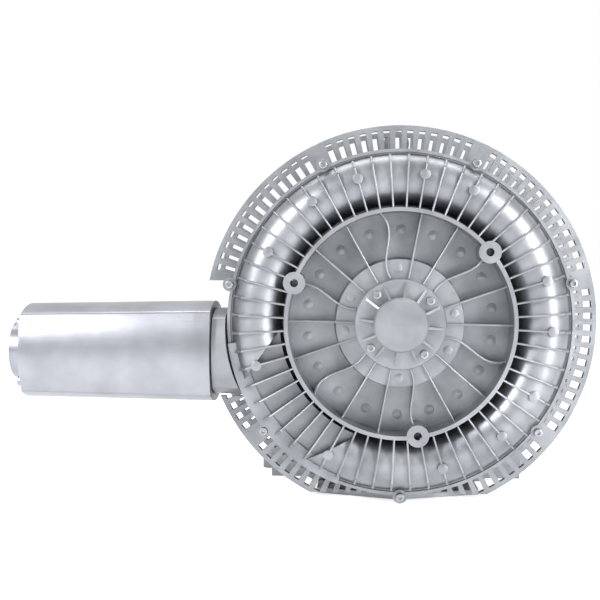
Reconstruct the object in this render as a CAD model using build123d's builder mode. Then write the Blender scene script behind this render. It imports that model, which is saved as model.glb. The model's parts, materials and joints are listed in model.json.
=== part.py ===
from build123d import *
import os
from math import cos, sin, radians, sqrt

# Two-stage side channel blower with a flanged motor and two silencers.
# Frame: X to the right seen from the blower end, Y along the shaft towards the motor, Z up.
# The origin is on the floor, midway between the two rear foot holes, under the shaft.
# Depths are measured along the shaft from the front face of the front cover's ring.
# Angles are seen from the front, counter-clockwise from +X. All sizes are in millimetres.

os.makedirs("parts", exist_ok=True)

# ---------------------------------------------------------------- driving dimensions
shaft_height = 234          # shaft centre line above the floor
foot_row_depth = 300        # front face to the rear foot holes, where the origin is
stage_middle = 108          # depth of the joint between the two casings
wall = 5                    # thickness of the cast walls
seat_gap = 0.3              # gap that a gasket or a loose fit leaves
running_gap = 0.6           # impeller to casing

# front and rear covers
channel_radius = 183        # middle of the side channel
bulge_radius = 33           # cross-section of the bulge, outside
bulge_centre_depth = 38     # depth of that section's centre
ring_radius = 141           # inside of the thin ring
ring_wall = 5
flange_radius = 221
flange_depth = 30           # face of the flange between bulge and lip
lip_depth = 26
lip_width = 4
cover_joint = 40            # depth of the joint between cover and casing
dish_depth = 45             # floor of the dish inside the ring
platform_radius = 81
platform_depth = 22
hub_radius = 57
hub_depth = 2               # face that carries the bearing cover
cover_fin_count = 56
cover_fin_angle = 177.2
cover_fin_sweep = 0.8       # degrees of the circle that a fin fills
rear_fin_count = 28
rear_fin_angle = 173.5
dish_rib_count = 18
dish_rib_angle = 179
dish_rib_width = 2.5
dish_rib_depth = 18
curved_rib_angles = (159, 99, 39, -21, -81, -141)
boss_angles = (159, 39, -81)
boss_radius = 14
boss_circle = 142.5
boss_hole_radius = 5.1      # tapped M12
boss_hole_length = 28
motor_bolt_radius = 5       # M10
motor_bolt_circle = 138
motor_bolt_length = 30

# bearing cover on the front hub
cap_flange_depth = -6
cap_depth = -24
cap_radius = 34
cap_wall = 5
cap_rib_count = 12
cap_rib_angle = 23.5
cap_screw_count = 4
cap_screw_angle = 38.5
cap_screw_circle = 47
cap_screw_radius = 3
cap_screw_length = 16

# bolted joint round the rim
rim_bolt_count = 7
rim_bolt_angle = 167.4
rim_bolt_circle = 223
rim_lug_radius = 9
rim_lug_length = 9
rim_bolt_radius = 3         # M6
rim_bolt_hole = 3.3
rim_head_radius = 5
rim_head_height = 6
head_room = 1

# interrupter, where the channel stops between outlet and inlet
stop_first_outer = -125
stop_last_outer = -159
stop_first_inner = -108
stop_last_inner = -180
stop_depth = 24
stop_channel_first = -105   # ends of the hollow channel, under the bulge
stop_channel_last = -183
ledge_radius = 201
ledge_first = -111
ledge_last = -173
ledge_depth = 20

# casings with their guard fins
barrel_radius = 216
guard_radius = 255
guard_depth = 64            # front face of the front guard
guard_thickness = 9
guard_window_pitch = 3.6
guard_window_width = 8
guard_window_length = 25
guard_windows_per_bolt = 13
guard_floor_gap = 7         # guards end this far above the floor
guard_last = 168            # the guard leaves room for the neck between these angles
guard_resume = -157
casing_web_depth = 78       # front face of the web behind the front impeller
casing_web = 6

# shaft and bearings
shaft_nose_depth = -10
bearing_shoulder = 6
fit_gap = 0.02              # radial clearance of seats and spigots
small_bearing_bore = 17.5   # 6307
small_bearing_radius = 40
small_bearing_width = 21
small_ball_radius = 6.7
large_bearing_bore = 20     # 6308
large_bearing_radius = 45
large_bearing_width = 23
large_ball_radius = 7.5
ball_count = 8
front_bearing_depth = 8
drive_bearing_depth = 211
collar_radius = 24
impeller_bore = 19
seal_gap = 0.4
seal_radius = 34

# impellers and what clamps them
impeller_hub_radius = 45
impeller_hub_start = 35
impeller_hub_end = 80
impeller_web_depth = 56
impeller_web = 7
impeller_rim_depth = 41
blade_count = 24
blade_width = 4
sleeve_radius = 27
washer_radius = 24
lock_nut_radius = 25
lock_nut_length = 9
cage_height = 8
cage_wall = 1.5
ball_gap = 0.3
impeller_hub_taper = 8
seal_inset = 4
spigot_length = 6
fan_hub_length = 36
fan_disc = 3
fan_blade_height = 26
circlip_width = 2
cowl_overlap = 4

# motor
motor_flange_depth = 216
motor_flange_radius = 158
motor_flange_thickness = 14
motor_bolt_angles = (45, 135, -135, -45)
motor_frame_length = 240
motor_frame_radius = 108
motor_frame_wall = 8
motor_fin_radius = 128
motor_fin_count = 36
motor_fin_width = 3
stator_bore = 62
core_inset = 60             # motor flange to the cores
core_length = 150
winding_length = 26
air_gap = 0.6
tail_shield_thickness = 14
tail_bearing_inset = 8      # into the tail shield
cowl_wall = 2.5
cowl_length = 104
fan_gap = 8                 # tail shield to fan
fan_radius = 105
fan_blade_count = 9
fan_bore = 15

# terminal box
box_width = 96
box_length = 106
box_height = 44
box_wall = 3.5
box_pad_height = 4
gland_radius = 16
gland_bore = 9
gland_wall = 3
lid_height = 12
gland_length = 26

# foot
foot_plate_half = 108
foot_tongue_depth = 56
foot_tongue_side_depth = 92
foot_bar_depth = 251
foot_end_depth = 345
foot_bar_half = 197
foot_bar_height = 14
foot_leg_thickness = 12
foot_leg_outer = 178
foot_leg_inner = 120
foot_slot_start = 90        # slot that clears the lowest rim screws
foot_slot_end = 216
foot_slot_width = 26
foot_hole_radius = 7.5
foot_hole_spread = 340
foot_front_row_depth = 118
foot_front_spread = 170

# lifting eye on the rear cover
eye_depth = 189
eye_boss = 2
eye_boss_radius = 10
eye_collar = 9.5
eye_collar_height = 5
eye_outer = 18
eye_inner = 10
eye_thickness = 7
eye_shank = 5
eye_shank_length = 15

# silencers
silencer_drop = 40          # silencer centre line below the shaft
rear_silencer_drop = 52
front_silencer_depth = 70
rear_silencer_depth = 212
port_depth = 60             # middle of the window from the neck into the stage
port_width = 24
port_height = 84
neck_end = -240             # X of the neck's flange face
rear_neck_end = -262
rim_clearance = 2
neck_bite = 18              # how far the neck reaches inside the barrel's radius
neck_height = 114
neck_wall = 6
silencer_flange = 22
silencer_length = 215
silencer_height = 132       # at the flange
silencer_height_end = 125   # at the end cap
silencer_crown = 12         # rise of each side's crown
silencer_corner = 6
silencer_wall = 4
end_cap_thickness = 12
port_boss_radius = 37.5
port_boss_length = 21
port_bore_radius = 28.5     # tapped G2
foam_thickness = 14
pipe_radius = 30
pipe_wall = 1.5
gasket_thickness = 1.5
silencer_screw_offset = 38  # from the centre line, both ways
silencer_screw_radius = 4   # M8
silencer_screw_head = 6.5

frame_start = motor_flange_depth + motor_flange_thickness
core_depth = frame_start + core_inset
shield_start = frame_start + motor_frame_length
box_depth = frame_start + motor_frame_length / 2
tail_bearing_depth = shield_start + tail_bearing_inset
fan_depth = tail_bearing_depth + small_bearing_width + wall + fan_gap

front_y = -foot_row_depth
shaft_axis = Axis((0, front_y, shaft_height), (0, 1, 0))


def facing(depth):
    """Plane across the shaft at a depth, seen from the front: local x is X, local y is up."""
    return Plane(origin=(0, front_y + depth, shaft_height), x_dir=(1, 0, 0), z_dir=(0, -1, 0))


def section(angle=0):
    """Half plane through the shaft: local x is the radius at the angle, local y is depth."""
    across = (cos(radians(angle)), 0, sin(radians(angle)))
    normal = (-sin(radians(angle)), 0, cos(radians(angle)))
    return Plane(origin=(0, front_y, shaft_height), x_dir=across, z_dir=normal)


inwards = (1, 0, 0)


def at(radius, angle):
    """Point on a facing plane in polar form."""
    return (radius * cos(radians(angle)), radius * sin(radians(angle)))


def save(piece, name):
    """Label a finished piece and write its STEP file."""
    piece.part.label = name
    export_step(piece.part, f"parts/{name}.step")


def turned(*points):
    """Solid of revolution about the shaft from corners given as (radius, depth)."""
    with BuildPart() as piece:
        with BuildSketch(section()):
            with BuildLine():
                Polyline(*points, close=True)
            make_face()
        revolve(axis=shaft_axis)
    return piece


def ring(inner, outer, start, length):
    """Plain ring about the shaft between two radii, from a depth."""
    return turned((inner, start), (outer, start), (outer, start + length), (inner, start + length))


# ---------------------------------------------------------------- covers
def cover_blank():
    """The outside of a cover, still solid: ring, bulge, flange and the middle."""
    bulge_start = sqrt(bulge_radius**2 - (bulge_centre_depth - flange_depth) ** 2)
    with BuildSketch(section()) as blank:
        with BuildLine():
            Polyline(
                (0, hub_depth),
                (hub_radius, hub_depth),
                (hub_radius, platform_depth),
                (platform_radius, platform_depth),
                (platform_radius + 3, dish_depth),
                (ring_radius, dish_depth),
                (ring_radius, 0),
                (ring_radius + ring_wall, 0),
                (ring_radius + ring_wall, bulge_centre_depth),
                (channel_radius - bulge_radius, bulge_centre_depth),
            )
            ThreePointArc(
                (channel_radius - bulge_radius, bulge_centre_depth),
                (channel_radius, bulge_centre_depth - bulge_radius),
                (channel_radius + bulge_start, flange_depth),
            )
            Polyline(
                (channel_radius + bulge_start, flange_depth),
                (flange_radius - lip_width, flange_depth),
                (flange_radius - lip_width, lip_depth),
                (flange_radius, lip_depth),
                (flange_radius, cover_joint),
                (channel_radius - bulge_radius, cover_joint),
                (channel_radius - bulge_radius, dish_depth + wall),
                (0, dish_depth + wall),
                (0, hub_depth),
            )
        make_face()
    return blank.sketch


def channel_section(depth):
    """Half-round section of the side channel, open at the joint."""
    radius = bulge_radius - wall
    with BuildSketch(section(stop_channel_last)) as channel:
        with BuildLine():
            Polyline(
                (channel_radius - radius, bulge_centre_depth),
                (channel_radius - radius, depth),
                (channel_radius + radius, depth),
                (channel_radius + radius, bulge_centre_depth),
            )
            ThreePointArc(
                (channel_radius + radius, bulge_centre_depth),
                (channel_radius, bulge_centre_depth - radius),
                (channel_radius - radius, bulge_centre_depth),
            )
        make_face()
    return channel.sketch


def fin_outline(count, first):
    """Side view of each cover fin: straight front edge from the ring to the flange."""
    with BuildSketch(*[
        section(first + cover_fin_sweep / 2 - 360 / count * turn) for turn in range(count)
    ]) as fins:
        with BuildLine():
            Polyline(
                (ring_radius + 2, 0.5),
                (channel_radius + 20, 1.5),
                (channel_radius + 29, 12),
                (channel_radius + 32, flange_depth + 1),
                (ring_radius + 2, flange_depth + 1),
                close=True,
            )
        make_face()
    return fins


def stop_outline():
    """Where the bulge is missing: slanted ends from the ring to the flange."""
    inner = ring_radius + ring_wall
    outer = channel_radius + bulge_radius
    with BuildLine() as outline:
        ThreePointArc(
            at(inner, stop_first_inner),
            at(inner, (stop_first_inner + stop_last_inner) / 2),
            at(inner, stop_last_inner),
        )
        Line(at(inner, stop_last_inner), at(outer, stop_last_outer))
        ThreePointArc(
            at(outer, stop_last_outer),
            at(outer, (stop_first_outer + stop_last_outer) / 2),
            at(outer, stop_first_outer),
        )
        Line(at(outer, stop_first_outer), at(inner, stop_first_inner))
    return outline


def cover_outside(fin_count, fin_angle):
    """Cover casting before it is hollowed: blank, interrupter with its ledge, and fins."""
    with BuildPart() as cover:
        add(cover_blank())
        revolve(axis=shaft_axis)
        with BuildSketch(facing(0)):
            with BuildLine():
                add(stop_outline().line)
            make_face()
        extrude(amount=-stop_depth, mode=Mode.SUBTRACT)
        add(cover_ledge())
        add(fin_outline(fin_count, fin_angle).sketch)
        revolve(axis=shaft_axis, revolution_arc=cover_fin_sweep)
    return cover.part


def cover_ledge():
    """Raised step that closes the rim outside the interrupter."""
    middle = (ledge_first + ledge_last) / 2
    inner, outer = ledge_radius, flange_radius
    with BuildPart() as ledge:
        with BuildSketch(facing(ledge_depth)):
            with BuildLine():
                ThreePointArc(at(inner, ledge_first), at(inner, middle), at(inner, ledge_last))
                Line(at(inner, ledge_last), at(outer, ledge_last))
                ThreePointArc(at(outer, ledge_last), at(outer, middle), at(outer, ledge_first))
                Line(at(outer, ledge_first), at(inner, ledge_first))
            make_face()
        extrude(amount=-(cover_joint - ledge_depth))
    return ledge.part


hub_back_depth = front_bearing_depth + small_bearing_width + wall


def cover_hollow():
    """Inside of a cover: side channel, hollow under the platform and relief behind the hub."""
    channel_arc = 360 - (stop_channel_first - stop_channel_last)
    with BuildPart() as hollow:
        add(channel_section(dish_depth + wall))
        revolve(axis=shaft_axis, revolution_arc=channel_arc)
        with BuildSketch(section()):
            with BuildLine():
                Polyline(
                    (0, dish_depth + wall),
                    (platform_radius + 3 - wall, dish_depth + wall),
                    (platform_radius - wall, platform_depth + wall + 1),
                    (hub_radius - 6, platform_depth + wall + 1),
                    (hub_radius - 6, hub_back_depth),
                    (0, hub_back_depth),
                    close=True,
                )
            make_face()
        revolve(axis=shaft_axis)
    return hollow.part


def rib_path(start_radius, angle):
    """Centre line of an S-curved dish rib, from the ring to the hub."""
    knots = [(start_radius, 1.5), (118, -2.1), (94, 1), (76, 4.4), (hub_radius + 1, 2.9)]
    with BuildLine() as path:
        Spline(*[at(radius, angle + swing) for radius, swing in knots])
    return path


def dish_ribs(curved_angles, lift):
    """Thin ribs across the dish, from the ring over the platform to the hub."""
    straight = [
        dish_rib_angle - 360 / dish_rib_count * turn
        for turn in range(dish_rib_count)
        if all(abs((dish_rib_angle - 360 / dish_rib_count * turn - a + 180) % 360 - 180) > 5
               for a in curved_angles)
    ]
    length = ring_radius - hub_radius + 2
    with BuildPart() as ribs:
        with BuildSketch(facing(lift)):
            for angle in straight:
                with Locations(Location((*at(hub_radius + length / 2 - 1, angle), 0), angle)):
                    Rectangle(length, dish_rib_width)
            for angle in curved_angles:
                with BuildLine():
                    add(rib_path(ring_radius + 1, angle).line)
                trace(line_width=dish_rib_width)
        extrude(amount=-(dish_depth + 1 - lift))
    return ribs.part


# ---------------------------------------------------------------- casings with guard fins
def guard_cuts():
    """Outline of everything that is open in a guard ring."""
    middle = barrel_radius + 8 + guard_window_length / 2
    per_side = (guard_windows_per_bolt - 1) / 2
    first = rim_bolt_angle - 180 / rim_bolt_count + per_side * guard_window_pitch
    with BuildSketch() as cuts:
        for sector in range(rim_bolt_count):
            start = first - 360 / rim_bolt_count * sector
            for window in range(guard_windows_per_bolt):
                angle = start - guard_window_pitch * window
                with Locations(Location((*at(middle, angle), 0), angle)):
                    Rectangle(guard_window_length, guard_window_width)
    return cuts.sketch


def guard_ring(depth):
    """Guard ring round the barrel, with its windows."""
    with BuildPart() as guard:
        with BuildSketch(facing(depth)):
            Circle(guard_radius)
            Circle(barrel_radius - 2, mode=Mode.SUBTRACT)
            add(guard_cuts(), mode=Mode.SUBTRACT)
        extrude(amount=-guard_thickness)
    return guard.part


def casing_blank():
    """Barrel, joint flanges and the web behind the impeller, as one revolved section."""
    inner = barrel_radius - wall
    with BuildPart() as blank:
        with BuildSketch(section()):
            with BuildLine():
                Polyline(
                    (inner, cover_joint),
                    (flange_radius, cover_joint),
                    (flange_radius, cover_joint + 8),
                    (barrel_radius, cover_joint + 8),
                    (barrel_radius, stage_middle - 8),
                    (flange_radius, stage_middle - 8),
                    (flange_radius, stage_middle),
                    (inner, stage_middle),
                    (inner, casing_web_depth + casing_web),
                    (collar_radius + 24, casing_web_depth + casing_web),
                    (collar_radius + 24, stage_middle),
                    (collar_radius + seal_gap + 6, stage_middle),
                    (collar_radius + seal_gap + 6, casing_web_depth),
                    (inner, casing_web_depth),
                    (inner, cover_joint),
                )
            make_face()
        revolve(axis=shaft_axis)
    return blank.part


def crowned(plane, height, corner):
    """Square section with four crowned sides, as the silencers have."""
    half = height / 2
    edge = half - silencer_crown
    with BuildSketch(plane) as outline:
        with BuildLine():
            ThreePointArc((-edge, edge), (0, half), (edge, edge))
            ThreePointArc((edge, edge), (half, 0), (edge, -edge))
            ThreePointArc((edge, -edge), (0, -half), (-edge, -edge))
            ThreePointArc((-edge, -edge), (-half, 0), (-edge, edge))
        make_face()
        fillet(outline.vertices(), corner)
    return outline.sketch


def across(x, depth, drop):
    """Plane square to X, facing -X: local x is depth, local y is up."""
    return Plane(
        origin=(x, front_y + depth, shaft_height - drop), x_dir=(0, -1, 0), z_dir=(-1, 0, 0)
    )


def neck(flange_x, flange_at, drop, port_at, clearances):
    """Hollow neck from the silencer flange to the barrel, cut clear of the rims beside it."""
    reach = neck_bite - barrel_radius - flange_x
    hollow = -clearances[0][2] - neck_wall - flange_x
    inside = neck_height - 2 * neck_wall
    with BuildPart() as duct:
        add(crowned(across(flange_x, flange_at, drop), neck_height, silencer_corner))
        extrude(amount=reach, dir=inwards)
        for start, finish, radius in clearances:
            with BuildSketch(facing(start)):
                Circle(radius)
            extrude(amount=start - finish, mode=Mode.SUBTRACT)
        add(crowned(across(flange_x, flange_at, drop), inside, silencer_corner))
        extrude(amount=hollow, dir=inwards, mode=Mode.SUBTRACT)
        with BuildSketch(across(flange_x, port_at, drop)):
            RectangleRounded(port_width, port_height, neck_wall)
        extrude(amount=-reach, mode=Mode.SUBTRACT)
    return duct.part


def neck_port(port_at, drop):
    """Window through the barrel wall behind a neck."""
    with BuildPart() as port:
        with BuildSketch(across(-flange_radius, port_at, drop)):
            RectangleRounded(port_width, port_height, neck_wall)
        extrude(amount=-neck_bite - 4 * wall)
    return port.part


# ---------------------------------------------------------------- covers
def rim_holes(depth):
    """Holes for the rim bolts behind a depth, with room for their heads before it."""
    with BuildPart() as holes:
        with BuildSketch(facing(depth)):
            with PolarLocations(rim_bolt_circle, rim_bolt_count, rim_bolt_angle):
                Circle(rim_head_radius + head_room)
        extrude(amount=depth)
        with BuildSketch(facing(depth)):
            with PolarLocations(rim_bolt_circle, rim_bolt_count, rim_bolt_angle):
                Circle(rim_bolt_hole)
        extrude(amount=-2 * stage_middle)
    return holes.part


eye_face = Plane(
    origin=(0, front_y + eye_depth, shaft_height + flange_radius + eye_boss),
    x_dir=(1, 0, 0), z_dir=(0, 0, 1),
)
channel_room = ring(
    channel_radius - bulge_radius + wall, channel_radius + bulge_radius - wall, bulge_centre_depth, wall
)
blade_room = ring(channel_radius - bulge_radius + wall, channel_radius, bulge_centre_depth, 2 * wall + 2)


def cover(fin_count, fin_angle, boss_places):
    """Cover in the front stage's place: casting, rim lugs, bosses and room for the blades."""
    with BuildPart() as body:
        add(cover_outside(fin_count, fin_angle))
        with BuildSketch(facing(lip_depth)):
            with PolarLocations(rim_bolt_circle, rim_bolt_count, rim_bolt_angle):
                Circle(rim_lug_radius)
        extrude(amount=-(cover_joint - lip_depth))
        with BuildSketch(facing(0)):
            with Locations(*boss_places):
                Circle(boss_radius)
        extrude(amount=-dish_depth)
        add(cover_hollow(), mode=Mode.SUBTRACT)
        add(rim_holes(lip_depth), mode=Mode.SUBTRACT)
        add(blade_room.part, mode=Mode.SUBTRACT)
    return body.part


foot_boss_places = [at(boss_circle, angle) for angle in boss_angles]
motor_bolt_places = [at(motor_bolt_circle, angle) for angle in motor_bolt_angles]

with BuildPart() as front_cover:
    add(cover(cover_fin_count, cover_fin_angle, foot_boss_places))
    add(dish_ribs(curved_rib_angles, dish_rib_depth))
    with BuildSketch(facing(0)):
        with Locations(*foot_boss_places):
            Circle(boss_hole_radius)
    extrude(amount=-boss_hole_length, mode=Mode.SUBTRACT)
    with BuildSketch(facing(hub_depth)):
        Circle(small_bearing_radius)
        with PolarLocations(cap_screw_circle, cap_screw_count, cap_screw_angle):
            Circle(cap_screw_radius)
    extrude(amount=-(front_bearing_depth + small_bearing_width - hub_depth), mode=Mode.SUBTRACT)
    with BuildSketch(facing(hub_depth)):
        Circle(small_bearing_radius - bearing_shoulder)
    extrude(amount=-dish_depth, mode=Mode.SUBTRACT)
save(front_cover, "front_cover")

with BuildPart() as rear_casting:
    add(cover(rear_fin_count, rear_fin_angle, motor_bolt_places))
    with BuildSketch(facing(0)):
        with Locations(*motor_bolt_places):
            Circle(motor_bolt_radius)
    extrude(amount=-motor_bolt_length, mode=Mode.SUBTRACT)
    with BuildSketch(eye_face):
        with Locations((0, 2 * (stage_middle - eye_depth))):
            Circle(eye_boss_radius)
    extrude(amount=-eye_shank_length - eye_boss)
    with BuildSketch(eye_face):
        with Locations((0, 2 * (stage_middle - eye_depth))):
            Circle(eye_shank)
    extrude(amount=-eye_shank_length, mode=Mode.SUBTRACT)
    add(channel_room.part, mode=Mode.SUBTRACT)
    with BuildSketch(facing(0)):
        Circle(hub_radius + 1)
    extrude(amount=-platform_depth, mode=Mode.SUBTRACT)
    with BuildSketch(facing(0)):
        Circle(seal_radius)
    extrude(amount=-2 * dish_depth, mode=Mode.SUBTRACT)
with BuildPart() as rear_cover:
    mirror(rear_casting.part, about=facing(stage_middle))
save(rear_cover, "rear_cover")

with BuildPart() as bearing_cover:
    with BuildSketch(section()):
        with BuildLine():
            Polyline(
                (0, cap_depth),
                (cap_radius - 2, cap_depth),
                (cap_radius, cap_depth + 2),
                (cap_radius, cap_flange_depth),
                (hub_radius - 1, cap_flange_depth),
                (hub_radius, cap_flange_depth + 1),
                (hub_radius, hub_depth),
                (small_bearing_radius - fit_gap, hub_depth),
                (small_bearing_radius - fit_gap, front_bearing_depth),
                (small_bearing_radius - bearing_shoulder, front_bearing_depth),
                (cap_radius - cap_wall, hub_depth),
                (cap_radius - cap_wall, cap_depth + cap_wall),
                (0, cap_depth + cap_wall),
                close=True,
            )
        make_face()
    revolve(axis=shaft_axis)
    with BuildSketch(*[
        section(cap_rib_angle + 360 / cap_rib_count * turn) for turn in range(cap_rib_count)
    ]):
        with BuildLine():
            Polyline(
                (cap_radius - 1, cap_depth + 4),
                (hub_radius - 4, cap_flange_depth),
                (hub_radius - 4, cap_flange_depth + 1),
                (cap_radius - 1, cap_flange_depth + 1),
                close=True,
            )
        make_face()
    extrude(amount=1.5, both=True)
    with BuildSketch(facing(cap_flange_depth)):
        with PolarLocations(cap_screw_circle, cap_screw_count, cap_screw_angle):
            Circle(cap_screw_radius)
    extrude(amount=-(hub_depth - cap_flange_depth), mode=Mode.SUBTRACT)
save(bearing_cover, "bearing_cover")


# ---------------------------------------------------------------- casings
def guard_trim():
    """What the guard leaves free: the floor below it, and the neck at its left."""
    neck_top = guard_radius * sin(radians(guard_last))
    neck_bottom = guard_radius * sin(radians(guard_resume))
    with BuildPart() as trim:
        with BuildSketch(facing(guard_depth - 1)):
            with Locations((0, guard_floor_gap - shaft_height - guard_radius / 2)):
                Rectangle(2 * guard_radius, guard_radius)
            with Locations((-guard_radius, (neck_top + neck_bottom) / 2)):
                Rectangle(guard_radius, neck_top - neck_bottom)
        extrude(amount=-guard_thickness - 2)
        with BuildSketch(facing(0)):
            Circle(barrel_radius)
        extrude(amount=-stage_middle, mode=Mode.SUBTRACT)
    return trim.part


with BuildPart() as guard:
    add(guard_ring(guard_depth))
    add(guard_trim(), mode=Mode.SUBTRACT)

blank = casing_blank()
chamber = ring(channel_radius - bulge_radius, barrel_radius - wall, cover_joint, casing_web_depth - cover_joint)


def stage_casing(neck_casting, port):
    """Casing in the front stage's place, with its neck, guard, lugs and holes."""
    with BuildPart() as body:
        add(blank)
        add(neck_casting)
        add(guard.part)
        for face in (cover_joint, stage_middle - rim_lug_length):
            with BuildSketch(facing(face)):
                with PolarLocations(rim_bolt_circle, rim_bolt_count, rim_bolt_angle):
                    Circle(rim_lug_radius)
            extrude(amount=-rim_lug_length)
        with BuildSketch(facing(cover_joint)):
            with PolarLocations(rim_bolt_circle, rim_bolt_count, rim_bolt_angle):
                Circle(rim_bolt_hole)
        extrude(amount=-stage_middle, mode=Mode.SUBTRACT)
        add(port, mode=Mode.SUBTRACT)
        add(chamber.part, mode=Mode.SUBTRACT)
    return body.part


with BuildPart() as front_casing:
    add(stage_casing(
        neck(neck_end, front_silencer_depth, silencer_drop, port_depth,
             [(0, cover_joint + seat_gap, flange_radius + rim_clearance),
              (stage_middle - seat_gap, 2 * stage_middle, flange_radius + rim_clearance)]),
        neck_port(port_depth, silencer_drop),
    ))
save(front_casing, "front_casing")

with BuildPart() as rear_casing:
    mirror(stage_casing(
        neck(rear_neck_end, 2 * stage_middle - rear_silencer_depth, rear_silencer_drop, port_depth,
             [(-2 * stage_middle, cover_joint + seat_gap,
               rim_bolt_circle + rim_lug_radius + rim_clearance)]),
        neck_port(port_depth, rear_silencer_drop),
    ), about=facing(stage_middle))
save(rear_casing, "rear_casing")

# ---------------------------------------------------------------- rotating parts
def wheel():
    """Front impeller: hub, web and a blade ring that is cupped towards the cover."""
    inner = channel_radius - bulge_radius + wall + running_gap
    outer = channel_radius + bulge_radius - wall - running_gap
    middle = (outer + inner) / 2
    cup = (outer - inner) / 2 - blade_width
    top = impeller_rim_depth
    bottom = casing_web_depth - running_gap
    web_end = impeller_web_depth + impeller_web
    with BuildPart() as piece:
        add(turned(
            (impeller_bore + fit_gap, impeller_hub_start),
            (impeller_hub_radius, impeller_hub_start),
            (impeller_hub_radius, impeller_web_depth),
            (inner, impeller_web_depth),
            (inner, top),
            (outer, top),
            (outer, bottom),
            (inner, bottom),
            (inner, web_end),
            (impeller_hub_radius, web_end),
            (impeller_hub_radius, impeller_hub_end - impeller_hub_taper),
            (sleeve_radius, bottom),
            (sleeve_radius, impeller_hub_end),
            (impeller_bore + fit_gap, impeller_hub_end),
        ).part)
        with BuildSketch(section()):
            with BuildLine():
                ThreePointArc((middle - cup, top), (middle, top + cup), (middle + cup, top))
                Line((middle + cup, top), (middle - cup, top))
            make_face()
        revolve(axis=shaft_axis, mode=Mode.SUBTRACT)
        with BuildSketch(facing(top)):
            with PolarLocations(middle, blade_count):
                Rectangle(2 * cup + 2, blade_width)
        extrude(amount=-cup - 1)
    return piece


def bearing(bore, outer, width, ball, start, name):
    """Deep groove ball bearing as three nodes: two races, and the balls in their cage."""
    middle = (bore + outer) / 2
    save(ring(middle + ball, outer, start, width), f"{name}_outer_race")
    save(ring(bore, middle - ball, start, width), f"{name}_inner_race")
    with BuildPart() as balls:
        with BuildSketch(*[
            section(360 / ball_count * turn) for turn in range(ball_count)
        ]):
            with Locations((middle, start + width / 2)):
                Rectangle(2 * cage_wall, cage_height)
        revolve(axis=shaft_axis, revolution_arc=360 / ball_count)
        with Locations(facing(start + width / 2)):
            with PolarLocations(middle, ball_count, 180 / ball_count):
                Sphere(ball - ball_gap)
    save(balls, f"{name}_ball_cage")


bearing(small_bearing_bore + fit_gap, small_bearing_radius - fit_gap, small_bearing_width,
        small_ball_radius, front_bearing_depth, "front_bearing")
bearing(large_bearing_bore + fit_gap, large_bearing_radius - fit_gap, large_bearing_width,
        large_ball_radius, drive_bearing_depth, "drive_bearing")
bearing(small_bearing_bore + fit_gap, small_bearing_radius - fit_gap, small_bearing_width,
        small_ball_radius, tail_bearing_depth, "tail_bearing")

front_seat_end = front_bearing_depth + small_bearing_width
drive_seat_end = drive_bearing_depth + large_bearing_width
tail_seat_end = tail_bearing_depth + small_bearing_width
save(turned(
    (0, shaft_nose_depth),
    (small_bearing_bore, shaft_nose_depth),
    (small_bearing_bore, front_seat_end),
    (impeller_bore, front_seat_end),
    (impeller_bore, drive_bearing_depth),
    (large_bearing_bore, drive_bearing_depth),
    (large_bearing_bore, drive_seat_end),
    (collar_radius, drive_seat_end),
    (collar_radius, tail_bearing_depth),
    (small_bearing_bore, tail_bearing_depth),
    (small_bearing_bore, tail_seat_end),
    (fan_bore, tail_seat_end),
    (fan_bore, fan_depth + fan_hub_length + circlip_width + 6),
    (0, fan_depth + fan_hub_length + circlip_width + 6),
), "shaft")
save(ring(small_bearing_bore + fit_gap, lock_nut_radius, front_bearing_depth - lock_nut_length,
          lock_nut_length), "lock_nut")
save(ring(impeller_bore + fit_gap, washer_radius, front_seat_end, impeller_hub_start - front_seat_end),
     "bearing_washer")
stage_one = wheel()
save(stage_one, "impeller_stage_1")
with BuildPart() as stage_two:
    mirror(stage_one.part, about=facing(stage_middle))
save(stage_two, "impeller_stage_2")
save(ring(impeller_bore + fit_gap, sleeve_radius, impeller_hub_end,
          2 * (stage_middle - impeller_hub_end)), "impeller_spacer")
save(ring(impeller_bore + fit_gap, sleeve_radius, 2 * stage_middle - impeller_hub_start,
          drive_bearing_depth - 2 * stage_middle + impeller_hub_start), "drive_sleeve")
save(ring(sleeve_radius + seal_gap, collar_radius + seal_gap + 6 - fit_gap, casing_web_depth + seal_inset,
          2 * (stage_middle - casing_web_depth - seal_inset)), "interstage_seal")
save(ring(sleeve_radius + seal_gap, seal_radius - fit_gap, 2 * stage_middle - hub_back_depth,
          hub_back_depth - platform_depth), "drive_side_seal")

# ---------------------------------------------------------------- motor
with BuildPart() as motor_flange:
    add(turned(
        (large_bearing_radius - bearing_shoulder, drive_bearing_depth - bearing_shoulder),
        (hub_radius - 3, drive_bearing_depth - bearing_shoulder),
        (hub_radius - 3, motor_flange_depth),
        (motor_flange_radius, motor_flange_depth),
        (motor_flange_radius, frame_start),
        (motor_frame_radius - motor_frame_wall - fit_gap, frame_start),
        (motor_frame_radius - motor_frame_wall - fit_gap, frame_start + spigot_length),
        (motor_frame_radius - 2 * motor_frame_wall, frame_start + spigot_length),
        (motor_frame_radius - 2 * motor_frame_wall, frame_start),
        (large_bearing_radius + 8, frame_start),
        (large_bearing_radius + 8, drive_seat_end + 3),
        (large_bearing_radius, drive_seat_end + 3),
        (large_bearing_radius, drive_bearing_depth),
        (large_bearing_radius - bearing_shoulder, drive_bearing_depth),
    ).part)
    with BuildSketch(facing(motor_flange_depth)):
        with Locations(*motor_bolt_places):
            Circle(motor_bolt_radius + fit_gap)
    extrude(amount=-motor_flange_thickness, mode=Mode.SUBTRACT)
save(motor_flange, "motor_flange")

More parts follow.
